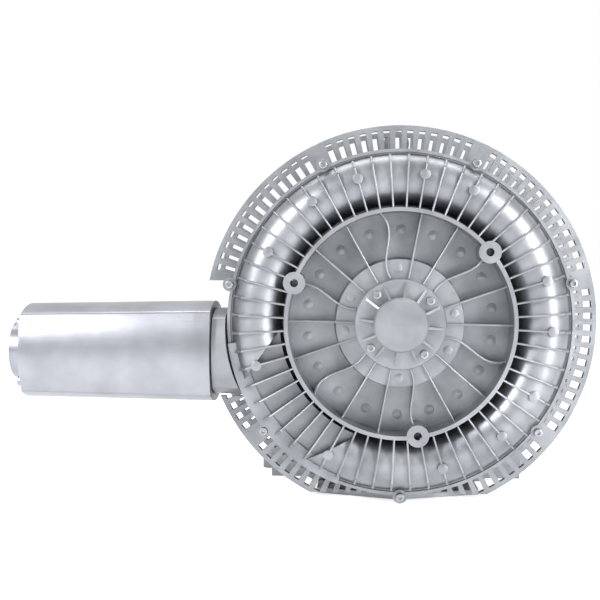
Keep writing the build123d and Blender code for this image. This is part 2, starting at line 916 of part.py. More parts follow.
with BuildPart() as motor_frame:
    with BuildSketch(facing(frame_start)):
        Circle(motor_frame_radius)
        with PolarLocations((motor_frame_radius + motor_fin_radius) / 2 - 1, motor_fin_count):
            Rectangle(motor_fin_radius - motor_frame_radius + 2, motor_fin_width)
        with Locations((0, (motor_fin_radius + box_pad_height + motor_frame_radius - wall) / 2)):
            Rectangle(box_width - 16, motor_fin_radius + box_pad_height - motor_frame_radius + wall)
        Circle(motor_frame_radius - motor_frame_wall, mode=Mode.SUBTRACT)
    extrude(amount=-motor_frame_length)
save(motor_frame, "motor_frame")

stator_outer = motor_frame_radius - motor_frame_wall - fit_gap
save(ring(stator_bore, stator_outer, core_depth, core_length), "stator_core")
with BuildPart() as winding:
    add(ring(stator_bore + 4, stator_outer - 8, core_depth - winding_length, winding_length).part)
    add(ring(stator_bore + 4, stator_outer - 8, core_depth + core_length, winding_length).part)
save(winding, "stator_winding")
save(ring(collar_radius + fit_gap, stator_bore - air_gap, core_depth, core_length), "rotor_core")

save(turned(
    (small_bearing_radius - bearing_shoulder, tail_seat_end + wall),
    (small_bearing_radius + 10, tail_seat_end + wall),
    (small_bearing_radius + 10, shield_start + tail_shield_thickness),
    (motor_fin_radius, shield_start + tail_shield_thickness),
    (motor_fin_radius, shield_start),
    (motor_frame_radius - motor_frame_wall - fit_gap, shield_start),
    (motor_frame_radius - motor_frame_wall - fit_gap, shield_start - spigot_length),
    (motor_frame_radius - 2 * motor_frame_wall, shield_start - spigot_length),
    (motor_frame_radius - 2 * motor_frame_wall, shield_start),
    (small_bearing_radius, shield_start),
    (small_bearing_radius, tail_seat_end),
    (small_bearing_radius - bearing_shoulder, tail_seat_end),
), "tail_shield")

with BuildPart() as cooling_fan:
    add(ring(fan_bore + fit_gap, fan_bore + 12, fan_depth, fan_hub_length).part)
    add(ring(fan_bore + 11, fan_radius, fan_depth, fan_disc).part)
    with BuildSketch(facing(fan_depth + fan_disc)):
        with PolarLocations((fan_radius + fan_bore + 11) / 2, fan_blade_count):
            Rectangle(fan_radius - fan_bore - 14, fan_disc)
    extrude(amount=-fan_blade_height)
save(cooling_fan, "cooling_fan")
save(ring(fan_bore + fit_gap, fan_bore + 5, fan_depth + fan_hub_length, circlip_width), "fan_circlip")

cowl_start = shield_start + cowl_overlap
with BuildPart() as fan_cowl:
    add(turned(
        (motor_fin_radius + fit_gap, cowl_start),
        (motor_fin_radius + cowl_wall, cowl_start),
        (motor_fin_radius + cowl_wall, cowl_start + cowl_length - 10),
        (motor_fin_radius - 8, cowl_start + cowl_length),
        (0, cowl_start + cowl_length),
        (0, cowl_start + cowl_length - cowl_wall),
        (motor_fin_radius - 9, cowl_start + cowl_length - cowl_wall),
        (motor_fin_radius + fit_gap, cowl_start + cowl_length - 11),
    ).part)
    with BuildSketch(facing(cowl_start)):
        for radius, count in ((45, 12), (72, 20), (99, 28)):
            with PolarLocations(radius, count):
                SlotOverall(22, 6)
    extrude(amount=-2 * cowl_length, mode=Mode.SUBTRACT)
save(fan_cowl, "fan_cowl")

# ---------------------------------------------------------------- terminal box
box_seat = motor_fin_radius + box_pad_height
box_plane = Plane(
    origin=(0, front_y + box_depth, shaft_height + box_seat), x_dir=(1, 0, 0), z_dir=(0, 0, 1)
)
box_middle = box_height * 0.45
with BuildPart() as terminal_box:
    with BuildSketch(box_plane):
        RectangleRounded(box_width, box_length, 8)
    extrude(amount=box_height)
    with BuildSketch(box_plane.offset(box_wall)):
        RectangleRounded(box_width - 2 * box_wall, box_length - 2 * box_wall, 5)
    extrude(amount=box_height, mode=Mode.SUBTRACT)
    with BuildSketch(Plane(box_plane.origin + Vector(0, 0, box_middle), x_dir=(0, 1, 0), z_dir=(1, 0, 0))):
        Circle(gland_bore + gland_wall)
    extrude(amount=box_width, mode=Mode.SUBTRACT)
save(terminal_box, "terminal_box")

with BuildPart() as box_gasket:
    with BuildSketch(box_plane.offset(box_height)):
        RectangleRounded(box_width, box_length, 8)
        RectangleRounded(box_width - 2 * box_wall, box_length - 2 * box_wall, 5, mode=Mode.SUBTRACT)
    extrude(amount=gasket_thickness)
save(box_gasket, "terminal_box_gasket")

with BuildPart() as box_lid:
    with BuildSketch(box_plane.offset(box_height + gasket_thickness)):
        RectangleRounded(box_width, box_length, 8)
    extrude(amount=lid_height, taper=8)
save(box_lid, "terminal_box_lid")

with BuildPart() as terminal_board:
    with BuildSketch(box_plane.offset(box_wall)):
        Rectangle(42, 62)
    extrude(amount=12)
    with BuildSketch(box_plane.offset(box_wall + 12)):
        with GridLocations(16, 18, 2, 3):
            Rectangle(5, 5)
    extrude(amount=9)
save(terminal_board, "terminal_board")

gland_plane = Plane(
    box_plane.origin + Vector(box_width / 2 - box_wall, 0, box_middle), x_dir=(0, 1, 0), z_dir=(1, 0, 0)
)
with BuildPart() as cable_gland:
    with BuildSketch(gland_plane):
        Circle(gland_bore + gland_wall - fit_gap)
    extrude(amount=box_wall)
    with BuildSketch(gland_plane.offset(box_wall)):
        RegularPolygon(gland_radius, 6)
    extrude(amount=gland_length)
    with BuildSketch(gland_plane):
        Circle(gland_bore)
    extrude(amount=gland_length + box_wall, mode=Mode.SUBTRACT)
save(cable_gland, "cable_gland")

# ---------------------------------------------------------------- foot
floor = Plane(origin=(0, front_y, 0), x_dir=(1, 0, 0), z_dir=(0, 0, 1))
leg_depth = 2 * stage_middle - ledge_depth
leg_seat = 2 * stage_middle - lip_depth
leg_turns = (4, 6)
leg_places = [at(rim_bolt_circle, rim_bolt_angle - 360 / rim_bolt_count * turn) for turn in leg_turns]
with BuildPart() as foot:
    with BuildSketch(floor):
        with BuildLine():
            Polyline(
                (-foot_plate_half, foot_tongue_side_depth),
                (0, foot_tongue_depth),
                (foot_plate_half, foot_tongue_side_depth),
                (foot_plate_half, foot_end_depth),
                (-foot_plate_half, foot_end_depth),
                close=True,
            )
        make_face()
    extrude(amount=guard_floor_gap - fit_gap)
    with BuildSketch(floor):
        with Locations((0, (foot_bar_depth + foot_end_depth) / 2)):
            RectangleRounded(2 * foot_bar_half, foot_end_depth - foot_bar_depth, 12)
        with Locations((0, (leg_depth + foot_end_depth) / 2)):
            Rectangle(2 * foot_leg_outer, foot_end_depth - leg_depth)
    extrude(amount=foot_bar_height)
    with BuildSketch(facing(leg_depth)):
        for x, z in leg_places:
            side = 1 if x > 0 else -1
            with BuildLine():
                Polyline(
                    (side * foot_leg_inner, -shaft_height),
                    (side * foot_leg_outer, -shaft_height),
                    (x + side * rim_lug_radius, z),
                    (x - side * rim_lug_radius, z),
                    close=True,
                )
            make_face()
            with Locations((x, z)):
                Circle(rim_lug_radius)
    extrude(amount=-foot_leg_thickness)
    with BuildSketch(facing(leg_seat)):
        with Locations(*leg_places):
            Circle(rim_head_radius + head_room - seat_gap)
    extrude(amount=leg_seat - leg_depth)
    with BuildSketch(facing(0)):
        Circle(channel_radius + bulge_radius + rim_clearance)
    extrude(amount=-leg_seat, mode=Mode.SUBTRACT)
    with BuildSketch(floor):
        with Locations((0, (foot_slot_start + foot_slot_end) / 2)):
            SlotOverall(foot_slot_end - foot_slot_start, foot_slot_width, rotation=90)
    extrude(amount=foot_bar_height, mode=Mode.SUBTRACT)
    with BuildSketch(facing(leg_seat)):
        with Locations(*leg_places):
            Circle(rim_bolt_hole)
    extrude(amount=-2 * foot_leg_thickness, mode=Mode.SUBTRACT)
    with BuildSketch(floor):
        with Locations((0, foot_row_depth)):
            with GridLocations(foot_hole_spread, 0, 2, 1):
                Circle(foot_hole_radius)
        with Locations((0, foot_front_row_depth)):
            with GridLocations(foot_front_spread, 0, 2, 1):
                Circle(foot_hole_radius)
    extrude(amount=foot_bar_height, mode=Mode.SUBTRACT)
save(foot, "foot")

# ---------------------------------------------------------------- silencers
def silencer(flange_x, depth, drop, name):
    """Silencer with its flange, gasket, tapered body, end cap with port, liner and pipe."""
    with BuildPart() as gasket:
        add(crowned(across(flange_x, depth, drop), neck_height - 4, silencer_corner))
        extrude(amount=-gasket_thickness, dir=inwards)
        add(crowned(across(flange_x, depth, drop), neck_height - 2 * neck_wall, silencer_corner))
        extrude(amount=-gasket_thickness, dir=inwards, mode=Mode.SUBTRACT)
    save(gasket, f"{name}_gasket")
    start = flange_x - gasket_thickness
    with BuildPart() as flange:
        add(crowned(across(start, depth, drop), silencer_height, silencer_corner))
        extrude(amount=-silencer_flange + gasket_thickness, dir=inwards)
        with BuildSketch(across(start, depth, drop)):
            Circle(pipe_radius + pipe_wall + fit_gap)
        extrude(amount=silencer_flange, mode=Mode.SUBTRACT)
    save(flange, f"{name}_flange")
    start = flange_x - silencer_flange
    end = start - silencer_length
    with BuildPart() as body:
        add(crowned(across(start, depth, drop), silencer_height, silencer_corner))
        add(crowned(across(end, depth, drop), silencer_height_end, silencer_corner))
        loft()
        thin = 2 * silencer_wall
        add(crowned(across(start, depth, drop), silencer_height - thin, silencer_corner))
        add(crowned(across(end, depth, drop), silencer_height_end - thin, silencer_corner))
        loft(mode=Mode.SUBTRACT)
    save(body, f"{name}_body")
    cavity = silencer_height_end - thin - 2 * seat_gap
    with BuildPart() as liner:
        add(crowned(across(start - seat_gap, depth, drop), cavity, silencer_corner))
        extrude(amount=2 * seat_gap - silencer_length, dir=inwards)
        with BuildSketch(across(start, depth, drop)):
            Circle(pipe_radius + pipe_wall + seat_gap)
        extrude(amount=silencer_length, mode=Mode.SUBTRACT)
    save(liner, f"{name}_foam_liner")
    with BuildPart() as pipe:
        with BuildSketch(across(flange_x - gasket_thickness, depth, drop)):
            Circle(pipe_radius + pipe_wall)
            Circle(pipe_radius, mode=Mode.SUBTRACT)
        extrude(amount=silencer_flange - gasket_thickness + silencer_length)
    save(pipe, f"{name}_perforated_pipe")
    with BuildPart() as cap:
        add(crowned(across(end, depth, drop), silencer_height_end, silencer_corner))
        extrude(amount=-end_cap_thickness, dir=inwards)
        with BuildSketch(across(end - end_cap_thickness, depth, drop)):
            Circle(port_boss_radius)
        extrude(amount=port_boss_length)
        with BuildSketch(across(end, depth, drop)):
            Circle(port_bore_radius)
        extrude(amount=end_cap_thickness + port_boss_length, mode=Mode.SUBTRACT)
    save(cap, f"{name}_end_cap")
    with BuildPart() as screws:
        with BuildSketch(across(end - end_cap_thickness, depth, drop)):
            with GridLocations(2 * silencer_screw_offset, 2 * silencer_screw_offset, 2, 2):
                Circle(silencer_screw_head)
        extrude(amount=2 * silencer_screw_radius)
    save(screws, f"{name}_screws")


silencer(neck_end, front_silencer_depth, silencer_drop, "front_silencer")
silencer(rear_neck_end, rear_silencer_depth, rear_silencer_drop, "rear_silencer")


# ---------------------------------------------------------------- fasteners
def screws(plane, places, head_radius, head_height, shank_radius, shank_length):
    """Cap screws with their heads on a plane and their shanks behind it."""
    with BuildPart() as group:
        with BuildSketch(plane):
            with Locations(*places):
                Circle(head_radius)
        extrude(amount=head_height)
        with BuildSketch(plane):
            with Locations(*places):
                Circle(shank_radius)
        extrude(amount=-shank_length)
    return group


rim_places = [
    at(rim_bolt_circle, rim_bolt_angle - 360 / rim_bolt_count * turn) for turn in range(rim_bolt_count)
]
save(screws(facing(lip_depth), rim_places, rim_head_radius, rim_head_height, rim_bolt_radius,
            cover_joint - lip_depth + rim_lug_length), "front_rim_screws")
rear_face = Plane(origin=facing(leg_seat).origin, x_dir=(-1, 0, 0), z_dir=(0, 1, 0))
foot_face = Plane(
    origin=facing(leg_depth + foot_leg_thickness).origin, x_dir=(-1, 0, 0), z_dir=(0, 1, 0)
)
seat_length = cover_joint - lip_depth + rim_lug_length
save(screws(rear_face, [(-x, z) for x, z in rim_places if (x, z) not in leg_places],
            rim_head_radius, rim_head_height, rim_bolt_radius, seat_length), "rear_rim_screws")
save(screws(foot_face, [(-x, z) for x, z in leg_places], rim_head_radius, rim_head_height,
            rim_bolt_radius, leg_depth - leg_seat + foot_leg_thickness + seat_length), "foot_screws")
save(screws(facing(stage_middle - rim_lug_length), rim_places, rim_head_radius, rim_head_height,
            rim_bolt_radius, 2 * rim_lug_length), "stage_joint_screws")
save(screws(facing(cap_flange_depth),
            [at(cap_screw_circle, cap_screw_angle + 90 * turn) for turn in range(cap_screw_count)],
            rim_head_radius, rim_head_height, cap_screw_radius - fit_gap, cap_screw_length),
     "bearing_cover_screws")
motor_face = Plane(origin=facing(frame_start).origin, x_dir=(-1, 0, 0), z_dir=(0, 1, 0))
save(screws(motor_face, [(-x, z) for x, z in motor_bolt_places], 8, 10,
            motor_bolt_radius - fit_gap, motor_flange_thickness + motor_bolt_length - 4),
     "motor_flange_screws")

# ---------------------------------------------------------------- lifting eye
with BuildPart() as lifting_eye:
    with BuildSketch(eye_face):
        Circle(eye_collar)
    extrude(amount=eye_collar_height)
    with BuildSketch(Plane(
        eye_face.origin + Vector(0, 0, eye_collar_height + eye_outer - 2), x_dir=(1, 0, 0), z_dir=(0, -1, 0)
    )):
        Circle(eye_outer)
        Circle(eye_inner, mode=Mode.SUBTRACT)
    extrude(amount=eye_thickness / 2, both=True)
    with BuildSketch(eye_face):
        Circle(eye_shank)
    extrude(amount=-eye_shank_length)
save(lifting_eye, "lifting_eye")
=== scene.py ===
import json
from math import atan2, cos, degrees, pi, prod, radians, sin

import bmesh
import bpy
from mathutils import Matrix, Vector


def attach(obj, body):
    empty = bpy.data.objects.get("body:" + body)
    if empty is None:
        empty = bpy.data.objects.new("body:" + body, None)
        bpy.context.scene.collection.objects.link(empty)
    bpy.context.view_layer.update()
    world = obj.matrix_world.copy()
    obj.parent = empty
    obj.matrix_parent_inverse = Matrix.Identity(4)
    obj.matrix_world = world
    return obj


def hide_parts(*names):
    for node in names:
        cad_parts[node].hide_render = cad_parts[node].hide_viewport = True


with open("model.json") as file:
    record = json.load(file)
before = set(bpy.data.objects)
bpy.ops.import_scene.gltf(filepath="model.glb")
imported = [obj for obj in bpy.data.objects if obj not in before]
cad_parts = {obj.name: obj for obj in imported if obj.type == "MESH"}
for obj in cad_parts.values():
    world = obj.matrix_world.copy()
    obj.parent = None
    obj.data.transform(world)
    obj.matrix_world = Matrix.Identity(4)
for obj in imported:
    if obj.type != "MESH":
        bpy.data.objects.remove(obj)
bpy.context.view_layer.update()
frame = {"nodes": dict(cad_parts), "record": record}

# Side channel blower: the finishes of its CAD nodes, and the small parts that the scene adds.
# Angles are seen from the front, counter-clockwise from +X. Depths run along the shaft from the
# front face of the cover's thin ring. Sizes are in millimetres until MM turns them to metres, and
# the camera and the lights are placed in metres.

nodes = frame["nodes"]
scene = bpy.context.scene
scene.view_settings.view_transform = "Standard"

MM = 0.001
SHAFT_HEIGHT = 234
FRONT_FACE = -300               # the thin ring's front face, along the shaft
FRONT, BACK, LEFT = (0, -1, 0), (0, 1, 0), (-1, 0, 0)


def at(x, depth, height):
    """Point to the right of the shaft, along it and above the floor."""
    return Vector((x * MM, (FRONT_FACE + depth) * MM, height * MM))


def on_front(radius, angle, depth):
    """Point round the shaft."""
    turn = radians(angle)
    return at(radius * cos(turn), depth, SHAFT_HEIGHT + radius * sin(turn))


# ------------------------------------------------------------------ camera
camera = bpy.data.objects.new("camera", bpy.data.cameras.new("camera"))
scene.collection.objects.link(camera)
camera.location = (-0.048, -1.594, 0.3165)
camera.rotation_euler = Vector((-0.0599, 1, -0.0406)).to_track_quat("-Z", "Y").to_euler()
camera.data.lens = 62.1
camera.data.clip_end = 50
scene.camera = camera


# ------------------------------------------------------------------ materials
def srgb(hex_code):
    """Linear colour from an sRGB hex value."""
    channels = [int(hex_code[i:i + 2], 16) / 255 for i in (1, 3, 5)]
    return [c / 12.92 if c <= 0.04045 else ((c + 0.055) / 1.055) ** 2.4 for c in channels] + [1]


def add_node(tree, kind, settings=None, links=None, into=None, **values):
    """A node with its settings, its input values by name, links into it, and the socket it feeds."""
    node = tree.nodes.new(kind)
    for name, value in (settings or {}).items():
        setattr(node, name, value)
    for name, value in values.items():
        node.inputs[name.replace("_", " ")].default_value = value
    for name, source in (links or {}).items():
        tree.links.new(source, node.inputs[name])
    if into:
        tree.links.new(node.outputs[0], into)
    return node


def finish_of(name, **values):
    """A material with its shader, and the object coordinates that its patterns read."""
    material = bpy.data.materials.new(name)
    material.use_nodes = True
    tree = material.node_tree
    shader = tree.nodes["Principled BSDF"]
    for key, value in values.items():
        shader.inputs[key.replace("_", " ")].default_value = value
    place = tree.nodes.new("ShaderNodeTexCoord").outputs["Object"]
    return material, tree, shader, place


def per_mm(size):
    """Texture scale for a pattern whose features are so many millimetres apart."""
    return 1000 / size


def drift(tree, shader, place, size, dark, light):
    """Base colour that drifts between two tones over patches of a real size."""
    noise = add_node(tree, "ShaderNodeTexNoise", links={"Vector": place}, Scale=per_mm(size), Detail=4)
    ramp = add_node(tree, "ShaderNodeValToRGB", links={"Fac": noise.outputs["Fac"]},
                    into=shader.inputs["Base Color"]).color_ramp
    for stop, position, colour in zip(ramp.elements, (0.3, 0.7), (dark, light)):
        stop.position = position
        stop.color = srgb(colour)


def die_cast_aluminium():
    """Die-cast aluminium, shot blasted: light grey satin with a fine peened grit."""
    material, tree, shader, place = finish_of("die_cast_aluminium_shot_blasted", Metallic=0.82, Roughness=0.4)
    drift(tree, shader, place, 45, "#777A7E", "#929498")
    flow = add_node(tree, "ShaderNodeTexNoise", links={"Vector": place}, Scale=per_mm(9), Detail=5)
    wavy = add_node(tree, "ShaderNodeBump", links={"Height": flow.outputs["Fac"]},
                    Strength=0.5, Distance=0.35 * MM)
    # grit of 1.2 mm, coarser than the real blast so that it shows
    grit = add_node(tree, "ShaderNodeTexNoise", links={"Vector": place}, Scale=per_mm(1.2), Detail=3)
    add_node(tree, "ShaderNodeBump", links={"Height": grit.outputs["Fac"], "Normal": wavy.outputs["Normal"]},
             into=shader.inputs["Normal"], Strength=0.6, Distance=0.12 * MM)
    add_node(tree, "ShaderNodeMapRange", links={"Value": flow.outputs["Fac"]},
             into=shader.inputs["Roughness"], To_Min=0.32, To_Max=0.5)
    return material


def satin_silencer_aluminium():
    """Cast aluminium with a fine machined satin: long soft highlights along its length."""
    material, tree, shader, place = finish_of("satin_aluminium", Metallic=0.9, Roughness=0.34)
    drift(tree, shader, place, 60, "#83858B", "#999BA1")
    # drawn marks 1.1 mm apart that run along the silencer, six to the metre
    drawn = add_node(tree, "ShaderNodeMapping", links={"Vector": place}, Scale=(6, per_mm(1.1), per_mm(1.1)))
    marks = add_node(tree, "ShaderNodeTexNoise", links={"Vector": drawn.outputs["Vector"]}, Scale=1, Detail=3)
    add_node(tree, "ShaderNodeBump", links={"Height": marks.outputs["Fac"]},
             into=shader.inputs["Normal"], Strength=0.5, Distance=0.05 * MM)
    add_node(tree, "ShaderNodeMapRange", links={"Value": marks.outputs["Fac"]},
             into=shader.inputs["Roughness"], To_Min=0.28, To_Max=0.42)
    return material


def zinc_plated_steel():
    """Bright zinc-plated steel: thin silver plating with a faint clouding."""
    material, tree, shader, place = finish_of("zinc_plated_steel", Metallic=1.0, Roughness=0.3)
    drift(tree, shader, place, 6, "#86888B", "#A2A4A8")
    cloud = add_node(tree, "ShaderNodeTexNoise", links={"Vector": place}, Scale=per_mm(3), Detail=4)
    add_node(tree, "ShaderNodeMapRange", links={"Value": cloud.outputs["Fac"]},
             into=shader.inputs["Roughness"], To_Min=0.24, To_Max=0.42)
    return material


def grey_enamel():
    """Grey stoved enamel on the terminal box: slight orange peel."""
    material, tree, shader, place = finish_of("grey_enamel", Metallic=0.0, Roughness=0.42, IOR=1.5)
    drift(tree, shader, place, 80, "#A3A6AA", "#AEB1B5")
    peel = add_node(tree, "ShaderNodeTexNoise", links={"Vector": place}, Scale=per_mm(2.5), Detail=2)
    add_node(tree, "ShaderNodeBump", links={"Height": peel.outputs["Fac"]},
             into=shader.inputs["Normal"], Strength=0.5, Distance=0.08 * MM)
    return material


def oiled_core_steel():
    """Stacked electrical steel, oiled: dark, with the lines of its sheets across the shaft."""
    material, tree, shader, place = finish_of("oiled_core_steel", Metallic=0.8, Roughness=0.45)
    drift(tree, shader, place, 20, "#4A4A4D", "#5C5C60")
    # sheet lines drawn coarser than the real 0.5 mm so that they show
    sheets = add_node(tree, "ShaderNodeTexWave", {"bands_direction": "Y"}, {"Vector": place}, Scale=per_mm(6))
    add_node(tree, "ShaderNodeBump", links={"Height": sheets.outputs["Fac"]},
             into=shader.inputs["Normal"], Strength=0.5, Distance=0.1 * MM)
    return material


def enamelled_copper():
    """Enamelled copper wire, wound and varnished: amber brown with strand lines."""
    material, tree, shader, place = finish_of("enamelled_copper_wire", Metallic=0.7, Roughness=0.35)
    drift(tree, shader, place, 8, "#8E4A22", "#B4683A")
    strands = add_node(tree, "ShaderNodeTexWave", {"bands_direction": "Z"}, {"Vector": place},
                       Scale=per_mm(8), Distortion=4)
    add_node(tree, "ShaderNodeBump", links={"Height": strands.outputs["Fac"]},
             into=shader.inputs["Normal"], Strength=0.8, Distance=0.4 * MM)
    return material


def nitrile_gasket():
    """Pressed nitrile sheet: matt black with a fine grain."""
    material, tree, shader, place = finish_of("nitrile_rubber", Metallic=0.0, Roughness=0.75, IOR=1.5)
    drift(tree, shader, place, 10, "#1C1C1E", "#29292B")
    grain = add_node(tree, "ShaderNodeTexNoise", links={"Vector": place}, Scale=per_mm(1))
    add_node(tree, "ShaderNodeBump", links={"Height": grain.outputs["Fac"]},
             into=shader.inputs["Normal"], Strength=0.5, Distance=0.06 * MM)
    return material


def open_cell_foam():
    """Open-cell polyurethane foam: dark grey, full of 2 mm pores."""
    material, tree, shader, place = finish_of("open_cell_foam", Metallic=0.0, Roughness=0.95, IOR=1.45)
    drift(tree, shader, place, 5, "#27272A", "#3B3B3F")
    pores = add_node(tree, "ShaderNodeTexVoronoi", links={"Vector": place}, Scale=per_mm(2.2))
    add_node(tree, "ShaderNodeBump", links={"Height": pores.outputs["Distance"]},
             into=shader.inputs["Normal"], Strength=1.0, Distance=0.8 * MM)
    return material


def moulded_polyamide():
    """Glass-filled polyamide, injection moulded: black, eggshell grain."""
    material, tree, shader, place = finish_of("black_polyamide_moulded", Metallic=0.0, Roughness=0.5, IOR=1.53)
    drift(tree, shader, place, 15, "#1A1A1C", "#242427")
    grain = add_node(tree, "ShaderNodeTexNoise", links={"Vector": place}, Scale=per_mm(0.9))
    add_node(tree, "ShaderNodeBump", links={"Height": grain.outputs["Fac"]},
             into=shader.inputs["Normal"], Strength=0.5, Distance=0.05 * MM)
    return material


finishes = {
    "cast_aluminium": die_cast_aluminium(),
    "silencer_aluminium": satin_silencer_aluminium(),
    "box_aluminium": grey_enamel(),
    "zinc_steel": zinc_plated_steel(),
    "core_steel": oiled_core_steel(),
    "copper_winding": enamelled_copper(),
    "gasket_rubber": nitrile_gasket(),
    "acoustic_foam": open_cell_foam(),
    "black_plastic": moulded_polyamide(),
}
slot_of = {sub["node"]: sub["material_slot"] for sub in frame["record"]["subparts"]}
for name, node in nodes.items():
    node.data.materials.clear()
    node.data.materials.append(finishes[slot_of[name]])


# ------------------------------------------------------------------ helpers for new pieces
def piece(name, bm, slot, stands_for=(), smooth=40):
    """Object on the housing from a bmesh, with the finish of a record slot."""
    bmesh.ops.recalc_face_normals(bm, faces=bm.faces)
    mesh = bpy.data.meshes.new(name)
    bm.to_mesh(mesh)
    bm.free()
    thing = bpy.data.objects.new(name, mesh)
    scene.collection.objects.link(thing)
    mesh.materials.append(finishes[slot])
    mesh.shade_smooth()
    mesh.set_sharp_from_angle(angle=radians(smooth))
    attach(thing, "housing")
    if stands_for:
        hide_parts(*stands_for)


def placed(bm, verts, where, along):
    """Turns vertices so that their Z lies along a direction, and moves them to a point."""
    turn = Vector(along).normalized().to_track_quat("Z", "Y").to_matrix().to_4x4()
    bmesh.ops.transform(bm, matrix=Matrix.Translation(where) @ turn, verts=verts)


def added_since(bm, before):
    """Vertices that a bmesh has gained, also those that a bevel or an inset made."""
    return [v for v in bm.verts if v not in before]


def top_face(verts):
    """The highest face that touches some vertices."""
    return max({f for v in verts for f in v.link_faces}, key=lambda f: f.calc_center_median().z)


def lathe(bm, profile, where, along, steps=48):
    """Closed turned ring from its (radius, height) corners."""
    before = set(bm.verts)
    corners = [bm.verts.new((radius * MM, 0, height * MM)) for radius, height in profile]
    edges = [bm.edges.new(pair) for pair in zip(corners, corners[1:] + corners[:1])]
    bmesh.ops.spin(bm, geom=corners + edges, cent=(0, 0, 0), axis=(0, 0, 1), angle=2 * pi, steps=steps,
                   use_merge=True)
    bmesh.ops.remove_doubles(bm, verts=added_since(bm, before), dist=1e-7)
    placed(bm, added_since(bm, before), where, along)


def rod(bm, radius, start, finish, segments=24):
    """Plain round bar along Z between two heights."""
    middle = Matrix.Translation((0, 0, (start + finish) / 2 * MM))
    made = bmesh.ops.create_cone(bm, cap_ends=True, cap_tris=False, segments=segments, radius1=radius * MM,
                                 radius2=radius * MM, depth=(finish - start) * MM, matrix=middle)
    return made["verts"]


def bead(bm, start, finish, first_radius, last_radius):
    """Rounded edge of a fin or rib: a slim tapered bar between two points."""
    along = finish - start
    made = bmesh.ops.create_cone(bm, cap_ends=True, cap_tris=False, segments=8, radius1=first_radius * MM,
                                 radius2=last_radius * MM, depth=along.length)
    placed(bm, made["verts"], (start + finish) / 2, along)


def stud(bm, radius, where, height, crown=0.25):
    """Round pad with a softly rounded edge, facing front, sunk a little into what carries it."""
    sink = 0.5
    before = set(bm.verts)
    verts = rod(bm, radius, -sink, height)
    bmesh.ops.bevel(bm, geom=list(top_face(verts).edges), offset=crown * MM, affect="EDGES", segments=2,
                    profile=0.5, material=-1)
    placed(bm, added_since(bm, before), where, FRONT)


# ------------------------------------------------------------------ cap screws
fit_gap = 0.02                  # a fitted shank is this much slimmer than its hole
M6 = {"head_radius": 5, "head_height": 6, "shank_radius": 3}
M6_FITTED = {**M6, "shank_radius": 3 - fit_gap}
M8 = {"head_radius": 6.5, "head_height": 8, "shank_radius": 4}
M10_FITTED = {"head_radius": 8, "head_height": 10, "shank_radius": 5 - fit_gap}

rim_circle = 223
rim_angles = [167.4 - 360 / 7 * turn for turn in range(7)]
foot_angles = [rim_angles[4], rim_angles[6]]
other_angles = [angle for angle in rim_angles if angle not in foot_angles]

front_lip_face = 26             # depths of the faces that carry the screw heads
rear_lip_face = 190
foot_back = 208
stage_joint_face = 99
cap_face = -6
motor_flange_back = 230
cap_screw_circle, cap_screw_angle = 47, 38.5
motor_screw_circle, motor_screw_angle = 138, 45


def cap_screw(bm, where, out, head_radius, head_height, shank_radius, length):
    """Socket head cap screw: round head with a chamfer, its hexagon socket, and the shank."""
    chamfer, wall, socket_flat, socket_depth = 0.12, 0.34, 0.5, 0.55     # shares of the head
    before = set(bm.verts)
    head = rod(bm, head_radius, 0, head_height)
    rim = bmesh.ops.bevel(bm, geom=list(top_face(head).edges), offset=head_radius * chamfer * MM,
                          affect="EDGES", segments=2, profile=0.5, material=-1)
    top = top_face({v for f in rim["faces"] for v in f.verts})
    bmesh.ops.inset_region(bm, faces=[top], thickness=head_radius * wall * MM, use_even_offset=True)
    for v in top.verts:
        from_flat = (degrees(atan2(v.co.y, v.co.x)) + 30) % 60 - 30
        v.co.xy = v.co.xy.normalized() * head_radius * socket_flat * MM / cos(radians(from_flat))
    pit = bmesh.ops.extrude_face_region(bm, geom=[top])
    pit_verts = [g for g in pit["geom"] if isinstance(g, bmesh.types.BMVert)]
    bmesh.ops.delete(bm, geom=[top], context="FACES")
    bmesh.ops.translate(bm, vec=(0, 0, -head_height * socket_depth * MM), verts=pit_verts)
    into_head = 0.2
    rod(bm, shank_radius, -length, into_head, 12)
    placed(bm, added_since(bm, before), where, out)


def screw_set(node, name, places, out, size, length):
    """A group of cap screws that stands for one CAD node."""
    bm = bmesh.new()
    for where in places:
        cap_screw(bm, where, out, **size, length=length)
    piece(name, bm, "zinc_steel", stands_for=(node,))


def round_shaft(circle, angles, depth):
    """Screw places on a circle."""
    return [on_front(circle, angle, depth) for angle in angles]


def quarters(first):
    """Four angles a quarter turn apart."""
    return [first + 90 * turn for turn in range(4)]


screw_set("front_rim_screws", "rim_cap_screws",
          round_shaft(rim_circle, rim_angles, front_lip_face), FRONT, M6, length=23)
screw_set("rear_rim_screws", "rear_rim_cap_screws",
          round_shaft(rim_circle, other_angles, rear_lip_face), BACK, M6, length=23)
screw_set("foot_screws", "foot_cap_screws",
          round_shaft(rim_circle, foot_angles, foot_back), BACK, M6, length=41)
screw_set("stage_joint_screws", "joint_cap_screws",
          round_shaft(rim_circle, rim_angles, stage_joint_face), FRONT, M6, length=18)
screw_set("bearing_cover_screws", "bearing_cover_cap_screws",
          round_shaft(cap_screw_circle, quarters(cap_screw_angle), cap_face), FRONT, M6_FITTED, length=16)
screw_set("motor_flange_screws", "motor_cap_screws",
          round_shaft(motor_screw_circle, quarters(motor_screw_angle), motor_flange_back), BACK, M10_FITTED,
          length=40)


# ------------------------------------------------------------------ silencer trim
silencer_screw_offset = 38
port_boss_length = 21
port_wall, thread_crest = 28.6, 27.3    # radii of the bored wall and of the ridges on it
thread_pitch = 2.31
ridge_width = 2.3
ridge_count = 10
first_ridge = 2.6                       # behind the mouth

